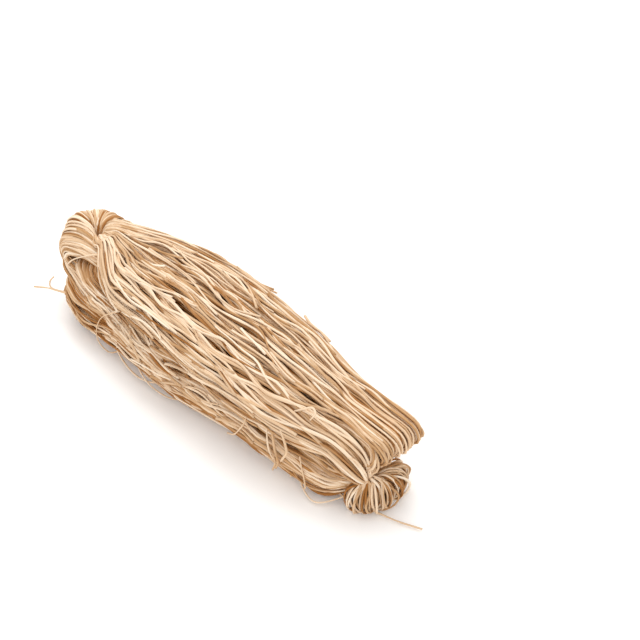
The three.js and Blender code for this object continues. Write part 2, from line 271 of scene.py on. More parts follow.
def new_piece(name, points, faces, material):
    """A smooth mesh from points in millimetres and four-sided faces, with its material."""
    mesh = bpy.data.meshes.new(name)
    mesh.from_pydata((points + SHIFT) * MM, [], faces)
    mesh.shade_smooth()
    mesh.materials.append(material)
    piece = bpy.data.objects.new(name, mesh)
    bpy.context.scene.collection.objects.link(piece)
    return piece


def mark_tone(piece, tone):
    """Keeps each point's place between tan, 0, and cream, 1: its own tone with any painted shade in it."""
    attribute = piece.data.attributes.new("noodle_tone_and_shade", "FLOAT", "POINT")
    attribute.data.foreach_set("value", np.ravel(tone).astype(np.float32))


def ride_in_bundle(piece):
    """The piece rides on the bundle and takes the place of its solid."""
    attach(piece, "root")
    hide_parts("noodle_bundle")


HEART_FOOT = 1.2  # the heart's least height over the table
HEART_TONE = 0.4
bodies = [
    heart_of_sheet(UPPER_SHEET, -HALF_SHEET + 7, HALF_SHEET - 8),
    heart_of_sheet(LOWER_SHEET, -HALF_SHEET - 1, HALF_SHEET - 3),
    heart_of_roll(HEAD_ROLL, 6.0),
    heart_of_roll(TAIL_TUFT, 3.8),
]
first = np.cumsum([0] + [len(points) for points, _ in bodies])
heart_points = np.concatenate([points for points, _ in bodies])
heart_points[:, 2] = np.maximum(heart_points[:, 2], HEART_FOOT)
heart_faces = np.concatenate([faces + first[i] for i, (_, faces) in enumerate(bodies)])
# Its colours are painted shade: a dark copy of the noodles' finish.
heart_shade_finish = noodle_finish(
    "packed_noodle_painted_shade",
    cream=(0.4, 0.21, 0.08, 1),
    pale=(0.36, 0.18, 0.065, 1),
    tan=(0.28, 0.13, 0.045, 1),
    deep=(0.2, 0.085, 0.025, 1),
    warm=(0.3, 0.14, 0.04, 1),
    streaked=False,
)
heart = new_piece("packed_heart", heart_points, heart_faces, heart_shade_finish)
mark_tone(heart, np.full(len(heart_points), HEART_TONE))
ride_in_bundle(heart)


# The lower sheet: noodles that come from under the head's pinch, fold over at the head end, and run along
# the table and up both sides to the tail's pinch. Flat strips of rice dough, 1.4 by 0.8 mm, in locks that
# stuck together as they dried and part again in long gaps.
NOODLE_HALF_WIDTH = 0.7
NOODLE_HALF_THICKNESS = 0.4
SECTION = np.array([(1, 0), (0.7, 1), (-0.7, 1), (-1, 0), (-0.7, -1), (0.7, -1)]) * (
    NOODLE_HALF_WIDTH,
    NOODLE_HALF_THICKNESS,
)
CORNERS = len(SECTION)


def smooth(points, count):
    """Each row of points becomes count points on a curve through them: a cubic over knots that are the
    square root of the distance apart, sloped at each like the parabola through it and its neighbours."""
    gap = np.sqrt(np.linalg.norm(np.diff(points, axis=1), axis=2))[..., None]
    knot = np.concatenate([np.zeros_like(gap[:, :1]), np.cumsum(gap, axis=1)], axis=1)[..., 0]
    chord = np.diff(points, axis=1) / gap
    inner = (chord[:, :-1] * gap[:, 1:] + chord[:, 1:] * gap[:, :-1]) / (gap[:, 1:] + gap[:, :-1])
    slope = np.concatenate([chord[:, :1], inner, chord[:, -1:]], axis=1)
    at = np.linspace(0, 1, count) * knot[:, -1:]
    i = np.clip((at[:, :, None] >= knot[:, None, :]).sum(axis=2) - 1, 0, points.shape[1] - 2)
    row = np.arange(len(points))[:, None]
    span = gap[row, i]
    t = (at[..., None] - knot[row, i][..., None]) / span
    bend = t * t * (3 - 2 * t)
    lean = t * (1 - t) * (slope[row, i] * (1 - t) - slope[row, i + 1] * t) * span
    return points[row, i] * (1 - bend) + points[row, i + 1] * bend + lean


def unit(vectors):
    """The vectors over their lengths."""
    return vectors / np.maximum(np.linalg.norm(vectors, axis=-1, keepdims=True), 1e-9)


def waves(draw, count, x, lengths, size):
    """For each noodle one sine over the places x, with its own length, start and height."""
    length = draw.uniform(*lengths, (count, 1))
    start = draw.uniform(0, TURN, (count, 1))
    return size * draw.uniform(0.4, 1, (count, 1)) * np.sin(TURN * x / length + start)


FOLD_START = 82.0  # from the sheets' middle
FOLD_SCALE = 120.0  # the larger, the slower the way out turns along the bundle past that


def away_from_sheet(sheet, path):
    """Which way is out of a sheet: the slope of its oval section, turned outwards along the bundle past
    the places where its ends begin to fold."""
    x, y, z = np.moveaxis(path, -1, 0)
    near, far, top, bottom = (side(x) for side in sheet)
    beyond = (x - np.clip(x, -FOLD_START, FOLD_START)) / FOLD_SCALE
    across = (y - (near + far) / 2) / ((far - near) / 2) ** 2
    return np.stack([beyond, across, (z - (top + bottom) / 2) / ((top - bottom) / 2) ** 2], axis=-1)


def frames(path, away):
    """At each point of the paths: the way along, the way across and the way out."""
    along = unit(np.gradient(path, axis=1))
    out = unit(away - (away * along).sum(axis=-1, keepdims=True) * along)
    return along, np.cross(out, along), out


def rippled(draw, path, away, size=1.0):
    """The paths with the small bends that noodles dry with: for each noodle a long and a short wave
    sideways, and the same outwards. Some bend far more than others, all least at the folds of both ends,
    and none goes below the table."""
    _, across, out = frames(path, away)
    count = len(path)
    step = np.linalg.norm(np.diff(path, axis=1), axis=2)
    length = np.concatenate([np.zeros((count, 1)), np.cumsum(step, axis=1)], axis=1)
    sideways = waves(draw, count, length, (34, 80), 0.55) + waves(draw, count, length, (18, 32), 0.2)
    outwards = waves(draw, count, length, (30, 70), 0.4) + waves(draw, count, length, (17, 30), 0.16)
    calm = 0.35 + 0.65 * np.clip((1.08 - np.abs(path[..., :1]) / HALF_SHEET) / 0.2, 0, 1)
    size = size * calm * draw.choice([0.6, 1.0, 1.6], (count, 1, 1))
    path = path + size * (sideways[..., None] * across + outwards[..., None] * out)
    path[..., 2] = np.maximum(path[..., 2], 1.1 * NOODLE_HALF_WIDTH)
    return path


GAP_REACH = 30.0  # a gap moves nothing further off than this
GAP_FADE = 8.0  # and its push fades out over this
GAP_SPREAD = 6.0  # to the side, the push falls to about a third over this
GAP_DEPTH = 2.5  # and inwards over this


def parted(path, away, gaps, depth):
    """The paths drawn apart round the gaps: each noodle keeps to the side on which it passes a gap's
    middle, and moves over by the gap's half width, less with distance from it and below the top layers."""
    along, across, _ = frames(path, away)
    centre, half_length, half_width = gaps[:, :3], gaps[:, 3], gaps[:, 4]
    offset = path[:, :, None] - centre
    beside = (offset * across[:, :, None]).sum(axis=-1)
    before = (offset * along[:, :, None]).sum(axis=-1)
    nearest = np.abs(before).argmin(axis=1)
    passing = np.take_along_axis(beside, nearest[:, None, :], axis=1)
    nearness = np.exp(-np.abs(passing) / GAP_SPREAD - (before / half_length) ** 2)
    in_reach = np.clip((GAP_REACH - np.linalg.norm(offset, axis=-1)) / GAP_FADE, 0, 1)
    push = np.sign(passing) * half_width * nearness * in_reach
    return path + np.exp(-depth / GAP_DEPTH) * push.sum(axis=2)[..., None] * across


def dried(draw, sheet, path, gaps, depth, bends):
    """One layer's paths as they dried: parted round the gaps and rippled. With them, their ways out."""
    away = away_from_sheet(sheet, path)
    return rippled(draw, parted(path, away, gaps, depth), away, bends), away


TWIST_SPREAD = 44.0  # degrees by which a strip leans away from lying flat
TWIST_WAVE = 45.0  # degrees by which it turns to and fro along its length
TWIST_STEP = 2.9  # length taken for one step along a path
BAND_SHARE = 0.8  # of a noodle's band in the UV map, used by its walls
STREAK_STRETCH = 20.0  # a noodle's length in the streaks' map, where its width is 1
CAP_PLACE = 0.001  # where a noodle's end lies in the UV map, as a share of its length


def noodles(draw, name, groups, material, thin=0.9, uneven=0.34):
    """A piece made of flat strips. Each group has paths and the ways out of the bundle, both as [noodle,
    point, xyz], and a mean tone, which holds painted shade as well as the noodles' own colour. A strip's
    six-cornered section is carried along its path, turned a little this way and that. The UV map gives each
    noodle a band, with its length across the map."""
    points, faces, maps, tones = [], [], [], []
    total = sum(len(path) for path, _, _ in groups)
    first, band = 0, 0
    for path, away, tone in groups:
        count, steps = path.shape[:2]
        _, across, out = frames(path, away)
        place = np.arange(steps)[None, :] * TWIST_STEP
        twist = draw.normal(0, TWIST_SPREAD, (count, 1)) + waves(draw, count, place, (50, 160), TWIST_WAVE)
        twist = twist[..., None] * DEGREE
        width = thin * draw.uniform(0.8, 1.12, (count, 1, 1))
        flat_out = out * np.cos(twist) + across * np.sin(twist)
        flat_across = across * np.cos(twist) - out * np.sin(twist)
        ring = path[:, :, None] + width[..., None] * (
            flat_across[:, :, None] * SECTION[:, :1] + flat_out[:, :, None] * SECTION[:, 1:]
        )
        points.append(ring.reshape(-1, 3))
        tone = tone + draw.normal(0, uneven, (count, 1)) + waves(draw, count, place, (60, 200), 0.14)
        tones.append(np.repeat(tone.ravel(), CORNERS))
        noodle = np.arange(count)[:, None, None]
        step = np.arange(steps - 1)[None, :, None]
        corner = np.arange(CORNERS)[None, None, :]
        base = first + (noodle * steps + step) * CORNERS
        then = (corner + 1) % CORNERS
        walls = np.stack(
            [base + corner, base + then, base + CORNERS + then, base + CORNERS + corner], axis=-1
        )
        start = first + np.arange(count)[:, None] * steps * CORNERS
        end = start + (steps - 1) * CORNERS
        caps = np.concatenate(
            [start + [3, 2, 1, 0], start + [5, 4, 3, 0], end + [0, 1, 2, 3], end + [0, 3, 4, 5]]
        )
        faces += [walls.reshape(-1, 4), caps]
        u = (step[..., None] + np.array([0, 0, 1, 1])) / (steps - 1) + 0 * walls
        v = (band + noodle + (1 - BAND_SHARE) / 2 + BAND_SHARE * corner / CORNERS)[..., None]
        v = v + BAND_SHARE / CORNERS * np.array([0, 1, 1, 0])
        walls_map = np.stack([u, (v + 0 * walls) / total], axis=-1).reshape(-1, 2)
        cap_v = np.tile((band + np.arange(count) + 0.5) / total, 4)
        cap_u = np.repeat([CAP_PLACE, CAP_PLACE, 1 - CAP_PLACE, 1 - CAP_PLACE], count)
        caps_map = np.repeat(np.stack([cap_u, cap_v], axis=-1), 4, axis=0)
        maps += [walls_map, caps_map]
        first += count * steps * CORNERS
        band += count
    piece = new_piece(name, np.concatenate(points), np.concatenate(faces), material)
    maps = np.concatenate(maps).astype(np.float32)
    piece.data.uv_layers.new(name="OFBake").uv.foreach_set("vector", maps.ravel())
    strip = maps * np.array([STREAK_STRETCH, total])
    piece.data.uv_layers.new(name="strip").uv.foreach_set("vector", strip.astype(np.float32).ravel())
    mark_tone(piece, np.concatenate(tones))
    ride_in_bundle(piece)


ROVERS = 0.16  # share of the noodles
ROVER_STRAY = 3.2  # times as far as the others
MOST_RISE = 0.9  # of a noodle over its own layer


def in_locks(draw, shares, x, locks, half_arc, size=1.0, roam=1.0):
    """Where the noodles of one layer lie across their sheet at the places x, as shares of half its arc,
    and how far each dips: neighbours share a lock, and a lock wanders, dips and draws together as one.
    About one noodle in six is a rover, which strays over its neighbours."""
    count = len(shares)
    bounds = np.linspace(shares[0], shares[-1], locks + 1)[1:-1]
    bounds = bounds + draw.uniform(-0.4, 0.4, locks - 1) * (bounds[1] - bounds[0])
    lock = np.searchsorted(bounds, shares)
    middle = np.bincount(lock, shares, locks) / np.maximum(np.bincount(lock, None, locks), 1)
    wander = waves(draw, locks, x, (90, 190), 2.6) + waves(draw, locks, x, (45, 80), 1.0)
    dip = waves(draw, locks, x, (60, 150), 0.8)
    drawn = 0.8 + waves(draw, locks, x, (50, 120), 0.25)
    rover = roam * np.where(draw.uniform(0, 1, (count, 1)) < ROVERS, ROVER_STRAY, 1.0)
    own = rover * (waves(draw, count, x, (70, 150), 1.0) + waves(draw, count, x, (38, 70), 0.3))
    across = middle[lock, None] + (shares - middle[lock])[:, None] * drawn[lock]
    across = across + size * (wander[lock] + own) / half_arc
    dip = dip[lock] + waves(draw, count, x, (50, 110), 0.6) - 0.6 * (rover > 1)
    return across, np.maximum(dip, -MOST_RISE)


def arc_angle(sheet, share, wrap):
    """The angle round a sheet's section for a share of the arc from its top to the angle wrap."""
    angle = np.linspace(0, wrap, 200)
    step = np.linalg.norm(np.diff(sheet_point(sheet, 0.0, angle), axis=0), axis=1)
    arc = np.concatenate([[0], np.cumsum(step)])
    return np.sign(share) * np.interp(np.abs(share), arc / arc[-1], angle)


def side_by_side(draw, count):
    """Shares from -1 to 1 for noodles that lie next to each other, not quite evenly."""
    return np.sort(np.linspace(-1, 1, count) + draw.uniform(-0.8, 0.8, count) / count)


LOWER_RUN = np.array([-0.93, -0.86, -0.78, -0.69, -0.59, -0.48, -0.36, -0.24, -0.12, 0,
                      0.12, 0.24, 0.36, 0.48, 0.59, 0.69, 0.78]) * HALF_SHEET
LOWER_LOCKS = 11
LOWER_HALF_ARC = 62.0
LOWER_WRAP = 128 * DEGREE  # to each side of the underside's middle


def lower_layer(draw, count, depth):
    """One layer of the lower sheet. The noodles of the underside fold up at the head and run back under
    the pinch; those of the sides sweep round the head's rounded corner. All end in the tail's pinch."""
    share = side_by_side(draw, count)
    across, dip = in_locks(draw, share, LOWER_RUN, LOWER_LOCKS, LOWER_HALF_ARC, 0.8)
    angle = np.pi + arc_angle(LOWER_SHEET, across, LOWER_WRAP)
    run = sheet_point(LOWER_SHEET, LOWER_RUN, angle, depth + dip)
    start = run[:, 0]
    y, low = start[:, 1], start[:, 2]
    high = LOWER_SHEET[2](-HALF_SHEET) - depth + 0 * y
    end = -HALF_SHEET - 1 + depth + draw.uniform(-0.8, 0.8, count)
    fold = [
        (end + 28, 0.35 * y - 3, high - 2),
        (end + 15, 0.75 * y - 1, high + 0.5),
        (end + 5, 0.96 * y, high - 0.2 * (high - low)),
        (end, y, (high + low) / 2 + 1.5),
        (end + 2.5, y, low + 0.18 * (high - low)),
    ]
    fold = np.stack([np.stack(point, axis=-1) for point in fold], axis=1)
    sweep = [
        (end - 2.2, 0.06 * y, low + 4.5),
        (end - 3.2, 0.3 * y, low + 3.5),
        (end - 2.6, 0.57 * y, low + 2.2),
        (end - 0.6, 0.8 * y, low + 1),
        (end + 2.6, 0.94 * y, low),
    ]
    sweep = np.stack([np.stack(point, axis=-1) for point in sweep], axis=1)
    corner = np.clip((np.abs(share) - 0.5) / 0.2, 0, 1)[:, None, None]
    fold = fold * (1 - corner) + sweep * corner
    last = run[:, -1:]
    fall = np.array([0.35, 0.7, 1.0])[None, :, None]
    goal = TAIL_PINCH + np.array([-3.0, 0.0, -2.0]) + draw.normal(0, 1.0, (count, 1, 3))
    home = last + (goal - last) * fall ** np.array([1.0, 1.5, 1.9])
    return smooth(np.concatenate([fold, run, home], axis=1), 64)


# Gaps between the locks of the near side: place, half its length and half its width.
SIDE_GAPS = np.array([
    (-72, -27, 14, 9, 1.6),
    (-56, -28, 12, 8, 1.4),
    (-36, -25, 21, 8, 1.5),
    (-12, -26, 21, 9, 1.5),
    (10, -25, 16, 8, 1.3),
    (24, -24, 25, 7, 1.2),
    (33, -24, 11, 8, 1.6),
    (44, -24, 21, 7, 1.6),
    (58, -22.5, 24, 6, 1.5),
    (57, -21, 13, 8, 1.2),
    (70, -19, 18, 9, 1.7),
], float)
LOWER_LAYERS = ((96, 0.4), (84, 1.3), (56, 2.3))  # how many noodles, and how far below the skin
draw = np.random.default_rng(3)
lower = []
# The tone falls with depth below the skin, painted shade of the layers above, and rises towards the tail,
# painted light.
for count, depth in LOWER_LAYERS:
    path = lower_layer(draw, count, depth)
    tone = 0.49 - 0.17 * depth + 0.12 * path[..., 0] / HALF_SHEET
    lower.append((*dried(draw, LOWER_SHEET, path, SIDE_GAPS, depth, 1.1), tone))
dry_finish = noodle_finish(
    "dried_rice_noodle",
    cream=(0.87, 0.73, 0.57, 1),
    pale=(0.78, 0.585, 0.4, 1),
    tan=(0.53, 0.325, 0.165, 1),
    deep=(0.34, 0.14, 0.034, 1),
    warm=(0.62, 0.34, 0.13, 1),
)
noodles(draw, "lower_sheet_noodles", lower, dry_finish, uneven=0.42)

# The side noodles: they leave the head's pinch as loops of its roll, come back from under its rim and run
# loosely along both flanks, over the lower sheet and under the upper, to the tail's pinch.


def roll_rim(roll, bearing, height, reach):
    """A point of a roll at its own bearing from straight outwards, at reach times the rim's distance."""
    pinch = roll["pinch"]
    x = pinch[0] + roll["outwards"] * reach * roll["length"] * np.cos(bearing)
    y = pinch[1] + reach * (roll["half_width"] * np.sin(bearing) + roll["aside"])
    return np.stack(np.broadcast_arrays(x, y, height), axis=-1)


def roll_start(bearing):
    """Where a loop of the head's roll comes out: at the pinch, or for the nearest loops on a line that
    leads from it down the near side, under the fan's first noodles."""
    late = np.clip((-bearing / DEGREE - 5) / 58, 0, 1)
    return HEAD_PINCH + late[:, None] * np.array([19.0, -8.5, -8.0]), late


def head_loop(draw, bearing, depth):
    """The points of the head roll's loops down to their lower half: out of the pinch, over the top,
    round the rim. The nearest turn back nearly flat, with nothing between their upper and lower runs.
    A station is a share of the way from start to rim, a height, and how much the loop leans and turns
    back there."""
    start, late = roll_start(bearing)
    crest = HEAD_ROLL["crest"] - depth - 8 * late**1.4 + draw.uniform(-0.6, 0.6, len(bearing))
    foot = np.minimum(HEAD_ROLL["foot"] + depth + 7 * late**1.6, crest - 0.8)
    middle = (crest + foot) / 2
    size = 1 - depth / 20 + draw.uniform(-0.05, 0.02, len(bearing))
    sunk = 1 - 0.85 * late
    lean = draw.normal(0, 4, len(bearing)) * DEGREE
    stations = [
        (0.09, crest - 10 * sunk, 0.0, 0),
        (0.13, crest - 5 * sunk, 0.0, 0),
        (0.22, crest - 1.3, 0.2, 0),
        (0.45, crest + 0.1, 0.6, 0),
        (0.74, crest - 1.0, 1.0, 0),
        (0.93, crest - 0.4 * (crest - middle), 1.0, 1),
        (1.0, middle, 0.5, 3),
        (0.95, foot + 0.35 * (middle - foot), 0.0, 6),
    ]
    points = []
    for reach, height, leaning, turned in stations:
        rim = roll_rim(HEAD_ROLL, bearing + leaning * lean - late * turned * DEGREE, height, size)
        point = start + (rim - start) * reach
        point[:, 2] = height
        points.append(point)
    return np.stack(points, axis=1), late, foot


FLANK_RUN = np.array([-0.74, -0.67, -0.6, -0.53, -0.42, -0.3, -0.18, -0.06, 0.06,
                      0.18, 0.3, 0.42, 0.53, 0.64, 0.74, 0.83]) * HALF_SHEET
FLANK_LOCKS = 6
FLANK_HALF_ARC = 16.0


def flank_run(draw, side, share, depth, top, wide, roam):
    """Where noodles of a flank run along the lower sheet, from the angle top down over twice the angle
    wide. They lie close together behind the head, and spread over the flank in the middle."""
    across, dip = in_locks(draw, share, FLANK_RUN, FLANK_LOCKS, FLANK_HALF_ARC, 0.75, roam)
    spread = wide * (0.6 + 0.4 * np.clip((FLANK_RUN + 62) / 45, 0, 1))
    angle = side * (top + spread * (1 - across)) * DEGREE
    run = sheet_point(LOWER_SHEET, FLANK_RUN, angle, depth + dip)
    last = run[:, -1:]
    goal = TAIL_PINCH + np.array([-2.0, side * 1.5, 0.0]) + draw.normal(0, 1.0, (len(share), 1, 3))
    home = last + (goal - last) * np.array([0.5, 1.0])[None, :, None] ** np.array([1.0, 1.4, 1.6])
    return np.concatenate([run, home], axis=1)


def flank_layer(draw, side, count, depth, roam=1.0):
    """One layer of one flank, side -1 near and 1 far: a roll's loop that goes on along the lower sheet's
    upper edge. The nearest loops lie highest."""
    share = side_by_side(draw, count)
    bearing = side * (34 + 28 * share) * DEGREE
    loop, _, foot = head_loop(draw, bearing, depth + 0.6)
    turn = loop[:, -2:-1] + np.array([7.0, side * 1.5, 0.0])
    turn[:, 0, 2] = foot + 1.5
    run = flank_run(draw, side, share, depth, top=22, wide=31, roam=roam)
    return smooth(np.concatenate([loop[:, :-1], turn, run], axis=1), 76)


# Where a shoulder's noodles start and come out: the highest one, and how much further the lowest is.
NEAR_SHOULDER = np.array([
    [(-78, -8, 31.5), (-21, -4, -4)],
    [(-75.5, -13.5, 31.7), (-21, -4, -4)],
], float)
FAR_SHOULDER = np.array([
    [(-98, 6.5, 38), (-1, 1.5, -14)],
    [(-91.5, 11.8, 37.8), (0, 2.7, -13.8)],
], float)


def shoulder_layer(draw, side, count, depth):
    """One layer of one shoulder: noodles that come from inside the head's roll, out under its last loops,
    and slant down to the flank beside the fan's first noodles. Those of the far side stay higher."""
    share = side_by_side(draw, count)
    late = (1 - share[:, None]) / 2
    run = flank_run(draw, side, share, depth - 0.3, top=18, wide=22, roam=1.3)
    ways = NEAR_SHOULDER if side < 0 else FAR_SHOULDER
    sunk = np.array([0, side * 0.7, -0.7]) * depth
    start, out = (highest + late * lower + sunk * [1, -1, 1] for highest, lower in ways)
    raised = 1.7 + 0.8 * side
    down = (out + run[:, 0]) / 2 + np.array([-2.0, side * 1.8, raised])
    return smooth(np.concatenate([np.stack([start, out, down], axis=1), run], axis=1), 62)


# The near rim's outer and inner course from the roll's edge down to the near flank.
RIM_OUTER = np.array([
    (-101.5, -21.2, 23.8), (-93.6, -23.2, 21.8), (-79.5, -26.6, 20.3), (-65.1, -27.6, 18.8),
])
RIM_INNER = np.array([
    (-98.5, -17.8, 26.5), (-91.5, -18.6, 25.6), (-80.3, -20.6, 24.6), (-69.5, -22.0, 23.2),
])


def rim_layer(draw, count, depth):
    """One layer of the near rim: the roll's nearest loops, which don't turn back under it but go on
    slantwise in front of the others, down to the near flank."""
    share = side_by_side(draw, count)
    loop, _, _ = head_loop(draw, (-56 + 10 * share) * DEGREE, depth + 0.2)
    high = (1 + share[:, None, None]) / 2
    course = RIM_OUTER * (1 - high) + RIM_INNER * high + np.array([0, 0.6, -0.6]) * depth
    course = course + draw.normal(0, 0.5, (count, 1, 3))
    run = flank_run(draw, -1, share, depth, top=22, wide=24, roam=1.0)
    return smooth(np.concatenate([loop[:, :7], course, run[:, 3:]], axis=1), 76)


FLANK_LAYERS = ((30, 0.2), (26, 1.2), (18, 2.3))
SHOULDER_LAYERS = ((26, 0.0), (22, 1.0))
RIM_LAYERS = ((18, 0.0), (14, 0.9))
draw = np.random.default_rng(8)
flanks = []
# The flanks' tone falls with depth below the skin: painted shade of the layers above.
for side in (-1, 1):
    for count, depth in FLANK_LAYERS:
        path = flank_layer(draw, side, count, depth)
        flanks.append((*dried(draw, LOWER_SHEET, path, SIDE_GAPS, depth, 1.3), 0.68 - 0.19 * depth))
noodles(draw, "flank_noodles", flanks, dry_finish, uneven=0.37)

draw = np.random.default_rng(9)
# The shoulders' tone is set low, painted shade under the head's roll; theirs and the near rim's fall with
# depth, painted shade of the layers above.
shoulders = []
for side in (-1, 1):
    for count, depth in SHOULDER_LAYERS:
        path = shoulder_layer(draw, side, count, depth)
        shoulders.append((*dried(draw, LOWER_SHEET, path, SIDE_GAPS, depth, 1.1), 0.3 - 0.15 * depth))
for count, depth in RIM_LAYERS:
    path = rim_layer(draw, count, depth)
    shoulders.append((*dried(draw, LOWER_SHEET, path, SIDE_GAPS, depth, 1.0), 0.6 - 0.15 * depth))
noodles(draw, "shoulder_noodles", shoulders, dry_finish)

# The upper sheet: noodles that come out of the head's pinch, fan out over the whole width, run the length
# of the bundle and fold down over its tail end in a row; the sides gather slantwise into the tail's pinch
# instead. They lie in layers of locks that cross at small angles, so lens-shaped gaps open between them.
UPPER_RUN = np.array([-0.88, -0.81, -0.73, -0.64, -0.55, -0.46, -0.36, -0.26, -0.16, -0.05, 0.06,
                      0.17, 0.28, 0.38, 0.48, 0.57, 0.66, 0.74, 0.8]) * HALF_SHEET
UPPER_HALF_ARC = 42.0
OUTER_WRAP = 98 * DEGREE  # to each side of the top's middle
INNER_WRAP = 125 * DEGREE
LOBES = 9  # groups of the tail's row that fold as one
ROW_NEAR = -6.0  # the row's near end
ROW_WIDTH = 27.5
ROW_START = -0.3  # the share of the noodle at the near end
ROW_HEIGHT = 34.8
ROW_FOLD = 92.6  # where the row turns down
ROW_RADIUS = 4.9
WALL_START = 0.62  # from this share on, the far noodles gather under the row
WALL_HEIGHT = 23.5


def eased(share):
    """A share from 0 to 1 that leaves 0 and reaches 1 gently."""
    return share**2 * (3 - 2 * share)


def out_of_pinch(draw, share, depth):
    """The fan's first points. A noodle's heading at the pinch goes with its share of the width, from
    slantwise towards the near side to right round behind the pinch for the far edge. Some come up later
    than others."""
    heading = (30 + 88 * share) * DEGREE
    late = draw.uniform(0, 1, len(share)) ** 1.5
    sink = depth * 1.3 + 2.5 * late
    nearer = np.clip(-share * 1.6, 0, 1)
    stations = [
        (1.9, 1, 10 - 5 * nearer),
        (2.6, 1, 4.8 - 2 * nearer),
        (4.6, 1, 0.9),
        (9.0, 0.82, -0.5),
    ]
    points = []
    for reach, turned, drop in stations:
        x = HEAD_PINCH[0] + reach * np.cos(heading * turned)
        y = HEAD_PINCH[1] + reach * np.sin(heading * turned)
        fall = 0.28 * reach * np.clip(-share, 0, 1) + sink * np.clip(1.3 - reach / 9, 0.3, 1)
        points.append(np.stack([x, y, HEAD_PINCH[2] - drop - fall], axis=-1))
    return np.stack(points, axis=1)


def over_the_tail(draw, last, depth, lobe, middle, gathered, wall):
    """The last points, from the run's last ones on. The row's noodles turn down round a small radius,
    drawn to the middle of their lobe; the gathered ones swing out a little, down to the tail's pinch."""
    ragged = draw.uniform(-1.6, 1.0, LOBES)[lobe] + draw.uniform(-0.7, 0.5, len(lobe))
    radius = np.maximum(ROW_RADIUS - 0.9 * depth, 1.2)
    bulge = (HALF_SHEET - TAIL_PINCH[0] + 1 - depth + ragged) * (1 - wall)
    points = []
    for turned, fall in ((72, 0.12), (30, 0.3), (-12, 0.5), (-60, 0.72), (-110, 0.92)):
        x = ROW_FOLD - 0.4 * depth + ragged + radius * np.cos(turned * DEGREE)
        y = last[:, 1] + (middle[lobe] - last[:, 1]) * 0.3 * (90 - turned) / 120
        z = last[:, 2] - 0.5 + radius * (np.sin(turned * DEGREE) - 1)
        folded = np.stack([x, y, z], axis=-1)
        x = last[:, 0] + (TAIL_PINCH[0] - last[:, 0]) * fall**0.7
        x = x + bulge * np.sin(np.pi * fall**0.8) ** 0.8
        y = last[:, 1] + (TAIL_PINCH[1] - last[:, 1]) * fall**2.2
        z = last[:, 2] + (TAIL_PINCH[2] - last[:, 2]) * fall**1.4
        drawn_in = np.stack([x, y, z], axis=-1)
        points.append(folded * (1 - gathered) + drawn_in * gathered)
    return np.stack(points, axis=1)


def upper_layer(draw, count, depth, locks, roam=1.0):
    """One layer of the upper sheet, from pinch to tail. The fan opens over its first points. At the tail
    the noodles of the top draw level and fold in lobes; those of both sides, and all of the inner layers,
    go to the pinch."""
    share = side_by_side(draw, count)
    across, dip = in_locks(draw, share, UPPER_RUN, locks, UPPER_HALF_ARC, 1.0, roam)
    settled = np.clip((UPPER_RUN + HALF_SHEET) / 40, 0, 1)
    across = share[:, None] + (across - share[:, None]) * settled
    spread = np.clip(0.55 + (UPPER_RUN + 84) / 50, 0.55, 1)
    outermost = depth < 2.5
    angle = arc_angle(UPPER_SHEET, across * spread, OUTER_WRAP if outermost else INNER_WRAP)
    run = sheet_point(UPPER_SHEET, UPPER_RUN, angle, depth + dip)
    pinch = out_of_pinch(draw, share, depth)
    wall = np.clip((share - WALL_START) / 0.14, 0, 1)
    gathered = np.maximum(np.clip((-0.12 - share) / 0.3, 0, 1), wall) if outermost else 1 + 0 * share
    gathered = eased(gathered)[:, None]
    row_y = ROW_NEAR + (ROW_WIDTH - depth) * (share - ROW_START)
    row = np.stack([row_y, ROW_HEIGHT - 2 * share**2 - depth], axis=-1)
    lobe = np.searchsorted(np.sort(draw.uniform(-0.3, 0.7, LOBES - 1)), share)
    middle = np.bincount(lobe, row[:, 0], LOBES) / np.maximum(np.bincount(lobe, None, LOBES), 1)
    row = (row + draw.normal(0, 0.5, (LOBES, 2))[lobe])[:, None]
    tail = eased(np.clip((UPPER_RUN / HALF_SHEET - 0.3) / 0.5, 0, 1))
    rising = (tail * (1 - gathered))[..., None]
    run[..., 1:] = run[..., 1:] * (1 - rising) + (row - dip[..., None] * np.array([0, 0.7])) * rising
    run[..., 2] += (WALL_HEIGHT - run[..., 2]) * 0.6 * tail * wall[:, None]
    fold = over_the_tail(draw, run[:, -1], depth, lobe, middle, gathered, wall)
    return smooth(np.concatenate([pinch, run, fold], axis=1), 66)


# Gaps that the locks leave: place, half its length and half its width.
GAPS = np.array([
    (-64, -9, 39, 6, 1.6),
    (-56, 8, 41, 11, 2.0),
    (-43, -16, 39, 6, 1.0),
    (-26, -11, 40, 8, 1.3),
    (-3, -14, 40, 8, 1.0),
    (7, -14, 38, 8, 1.3),
    (26, -17, 37, 8, 1.0),
    (-8, 7, 40, 9, 1.8),
    (13, 1, 40, 8, 1.5),
    (45, -1, 38, 9, 1.8),
    (42, -14, 37, 7, 1.2),
    (61, -5, 38, 11, 1.6),
    (76, -4, 33, 9, 1.7),
    (84, 4, 34, 9, 1.2),
    (82, 13, 34, 9, 1.1),
    (64, 2, 36, 9, 1.4),
    (41, 13, 38, 8, 1.0),
    (25, 9, 40, 7, 1.0),
    (69, 9, 35, 8, 1.4),
    (-42, 11, 42, 9, 1.2),
    (-14, 19, 40, 10, 1.2),
], float)
# How many noodles, how far below the skin, and in how many locks.
UPPER_LAYERS = ((64, 0.1, 14), (72, 1.0, 12), (64, 2.0, 10), (50, 3.0, 9), (46, 4.0, 9))
draw = np.random.default_rng(21)
upper = []
